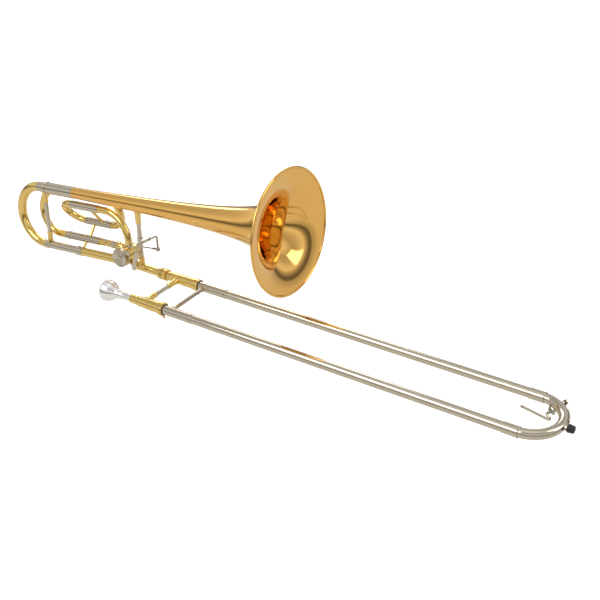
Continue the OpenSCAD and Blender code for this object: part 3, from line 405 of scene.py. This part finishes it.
def bent_stations(points, bend, radius, steps=14):
    """Stations along a planar path with its corners bent; points in millimetres."""
    points = [Vector(p) for p in points]
    dirs = [(b - a).normalized() for a, b in zip(points, points[1:])]
    normal = dirs[0].cross(dirs[1]).normalized()
    stations = [(points[0], dirs[0], normal, radius)]
    for i in range(1, len(points) - 1):
        u, v = dirs[i - 1], dirs[i]
        angle = u.angle(v)
        cut = bend * math.tan(angle / 2)
        towards = (v - u * u.dot(v)).normalized()
        centre = points[i] - u * cut + towards * bend
        for k in range(steps + 1):
            t = angle * k / steps
            stations.append((centre + (u * math.sin(t) - towards * math.cos(t)) * bend,
                             u * math.cos(t) + towards * math.sin(t), normal, radius))
    stations.append((points[-1], dirs[-1], normal, radius))
    return stations


def half_bow_stations(a, start, end, way, radius, end_radius=None, steps=48):
    """Half turn between two legs at [y, h], bulging forward (way 1) or back (way -1)."""
    start, end = Vector((0, *start)), Vector((0, *end))
    middle = (start + end) / 2
    out = start - middle
    side = Vector((way, 0, 0)).cross(out).normalized()
    end_radius = end_radius or radius
    stations = []
    for k in range(steps + 1):
        t = math.pi * k / steps
        centre = Vector((a, 0, 0)) + middle + out * math.cos(t) + Vector((way * out.length * math.sin(t), 0, 0))
        along = -out.normalized() * math.sin(t) + Vector((way * math.cos(t), 0, 0))
        stations.append((centre, along, side, radius + (end_radius - radius) * k / steps))
    return stations


def with_legs(stations, length):
    """The stations of a half turn, run on straight at both ends."""
    first, last = stations[0], stations[-1]
    before = (Vector(first[0]) - Vector(first[1]).normalized() * length, *first[1:])
    after = (Vector(last[0]) + Vector(last[1]).normalized() * length, *last[1:])
    return [before, *stations, after]


BELL_FRONT = 388.8
BELL_LENGTH = 488.8
BELL_H = 115.6
BEAD_R = 2.1
BEAD_CENTRE_R = 105.9
FLARE_OFFSET = -9.9
FLARE_REACH = 8
FLARE_POWER = 0.42


def bell_radius(a):
    span = BELL_FRONT - BEAD_R - a
    return FLARE_OFFSET + (BEAD_CENTRE_R - FLARE_OFFSET) * (FLARE_REACH / (FLARE_REACH + span)) ** FLARE_POWER


def bell():
    """Sheet of the flare with its rolled rim."""
    wall = 0.6
    skin = []
    steps = 90
    for i in range(steps + 1):
        a = BELL_FRONT - BEAD_R - (BELL_LENGTH - BEAD_R) * (1 - i / steps) ** 2.6
        skin.append((a, bell_radius(a)))
    rim = Vector((BELL_FRONT - BEAD_R, BEAD_CENTRE_R))
    outside = [p for p in skin if (Vector(p) - rim).length > BEAD_R]
    inside = []
    for i, (a, r) in enumerate(outside):
        before = Vector(outside[max(i - 1, 0)])
        after = Vector(outside[min(i + 1, len(outside) - 1)])
        along = (after - before).normalized()
        inside.append((a + along.y * wall, r - along.x * wall))
    last_out = Vector(outside[-1]) - rim
    last_in = Vector(inside[-1]) - rim
    start = math.atan2(last_out.y, last_out.x)
    stop = math.atan2(last_in.y, last_in.x)
    while stop > start:
        stop -= 2 * math.pi
    roll = [(rim.x + BEAD_R * math.cos(t), rim.y + BEAD_R * math.sin(t))
            for t in (start + (stop - start) * k / 24 for k in range(25))]
    profile = outside + roll + list(reversed(inside))
    place = BELL_FRAME @ Matrix.Translation((0, 0, BELL_H * MM))
    finish_piece("bell_flare", turned(profile, 192, place, "bell_flare"), "gold_brass", "bell_section", ["bell"])


RIM_X = -88


def mouthpiece():
    """Round-bellied cup, bead and shank, with the cup's hollow and the throat."""
    outside = [(0.0, 15.2), (-0.3, 16.2), (0.2, 17.4), (1.2, 18.5), (2.8, 19.15), (5, 19.25), (7, 19.1), (8, 18.7),
               (9, 18.6), (11, 18.4), (14, 17.5), (17, 16.1), (20, 14.1), (23, 11.9), (26, 9.9), (29, 8.5), (32, 7.8),
               (34, 7.6), (35, 8.1), (36, 8.3), (37, 8.1), (38, 7.5), (40, 6.9), (44, 6.6), (52, 6.4), (59.5, 6.27),
               (76, 5.85)]
    inside = [(76, 4.95), (38, 3.3), (29, 3.3), (26, 3.6), (24, 4.8), (21, 6.9), (17, 8.9), (12, 10.9), (7, 12.1),
              (3.5, 12.6), (1.4, 13.3), (0.4, 14.2)]
    profile = [(RIM_X + x, radius) for x, radius in outside + inside]
    place = Matrix.Translation((0, -SLIDE_HALF * MM, 0))
    finish_piece("mouthpiece_cup_and_shank", turned(profile, 96, place, "mouthpiece_cup_and_shank"), "silver_plate",
                 "mouthpiece", ["mouthpiece"], sharp=50)


# The black sheet in each barrel mouth is painted shade, not a real lining.
SHADE_SHEET_BACK, SHADE_SHEET_FRONT = 16, 47.7
LIP_BACK = 47.53
SHADE_SHEET_IN_R, SHADE_SHEET_OUT_R, LIP_R = 8.35, 9.06, 10.2


def barrel_mouth_shade():
    """Black sheet with a thin lip over the open front of each barrel: painted shade for the shadowed gap between
    barrel and outer tube.
    """
    profile = [(SHADE_SHEET_BACK, SHADE_SHEET_IN_R), (SHADE_SHEET_FRONT, SHADE_SHEET_IN_R), (SHADE_SHEET_FRONT, LIP_R), (LIP_BACK, LIP_R),
               (LIP_BACK, SHADE_SHEET_OUT_R), (SHADE_SHEET_BACK, SHADE_SHEET_OUT_R)]
    for side, y in (("left", SLIDE_HALF), ("right", -SLIDE_HALF)):
        place = Matrix.Translation((0, y * MM, 0))
        name = side + "_barrel_mouth_shade"
        # Dark felt finish on a sheet put where there is only shadow: painted shade.
        finish_piece(name, turned(profile, 64, place, name), "black_felt", "inner_slide")


F_TUBE_R = 6.7
F_LOW, F_HIGH = (18, 20), (22, 108)
F_LOOP_LOW, F_LOOP_HIGH = (38, 49), (0, 92)
F_WALL = 0.3
F_BOW_A, F_BOW_LEGS = -168.63, 17.6
F_CROOK_A, F_SMALL_BOW_A = -46.97, -115
MAIN_BOW_A, MAIN_BOW_WALL = -193, 0.8
MAIN_BOW_LOW_R, MAIN_BOW_HIGH_R = 7.7, 9.1
END_BOW_X, END_BOW_R, END_BOW_WALL = 688.03, 7.81, 0.6


def bows():
    """Smooth tubes in place of the bends of the bell section, the tuning slides and the hand slide."""
    stations = half_bow_stations(MAIN_BOW_A, (0, 0), (0, BELL_H), -1, MAIN_BOW_LOW_R, MAIN_BOW_HIGH_R, 72)
    finish_piece("tuning_bow_tube", swept(stations, MAIN_BOW_WALL, 40, BELL_FRAME, "tuning_bow_tube"), "brass",
                 "main_tuning_slide", ["tuning_bow"])
    f_bows = [
        ("f_tuning_bow_tube", with_legs(half_bow_stations(F_BOW_A, F_LOW, F_HIGH, -1, F_TUBE_R), F_BOW_LEGS),
         "f_tuning_slide", "f_tuning_bow"),
        ("f_front_crook_tube", half_bow_stations(F_CROOK_A, F_HIGH, F_LOOP_LOW, 1, F_TUBE_R),
         "bell_section", "f_front_crook"),
        ("f_small_bow_tube", half_bow_stations(F_SMALL_BOW_A, F_LOOP_LOW, F_LOOP_HIGH, -1, F_TUBE_R),
         "bell_section", "f_small_bow"),
        ("f_drop_tube_bend", bent_stations([(-27, 0, 92), (26, 0, 92), (26, 0, 33.78)], 52.99, F_TUBE_R, 32),
         "bell_section", "f_drop_tube"),
        ("f_lead_tube_bend", bent_stations([(-5.03, 0, 28.5), (-27.31, 0, 28.5), (-40.75, 18, 20), (-68.47, 18, 20)],
                                           17.54, F_TUBE_R), "bell_section", "f_lead_tube"),
    ]
    for name, path, body, node in f_bows:
        finish_piece(name, swept(path, F_WALL, 40, BELL_FRAME, name), "brass", body, [node])
    path = [(Vector((END_BOW_X, 0, 0)) + Vector((math.cos(t), math.sin(t), 0)) * SLIDE_HALF,
             Vector((-math.sin(t), math.cos(t), 0)), Vector((0, 0, 1)), END_BOW_R)
            for t in (math.radians(-90 + 180 * k / 64) for k in range(65))]
    finish_piece("end_bow_tube", swept(path, END_BOW_WALL, 44, SLIDE_FRAME, "end_bow_tube"), "nickel_silver", "hand_slide",
                 ["end_bow"])


look_at_trombone()
studio()
floor()
dress_cad_nodes()
bell()
mouthpiece()
barrel_mouth_shade()
bows()
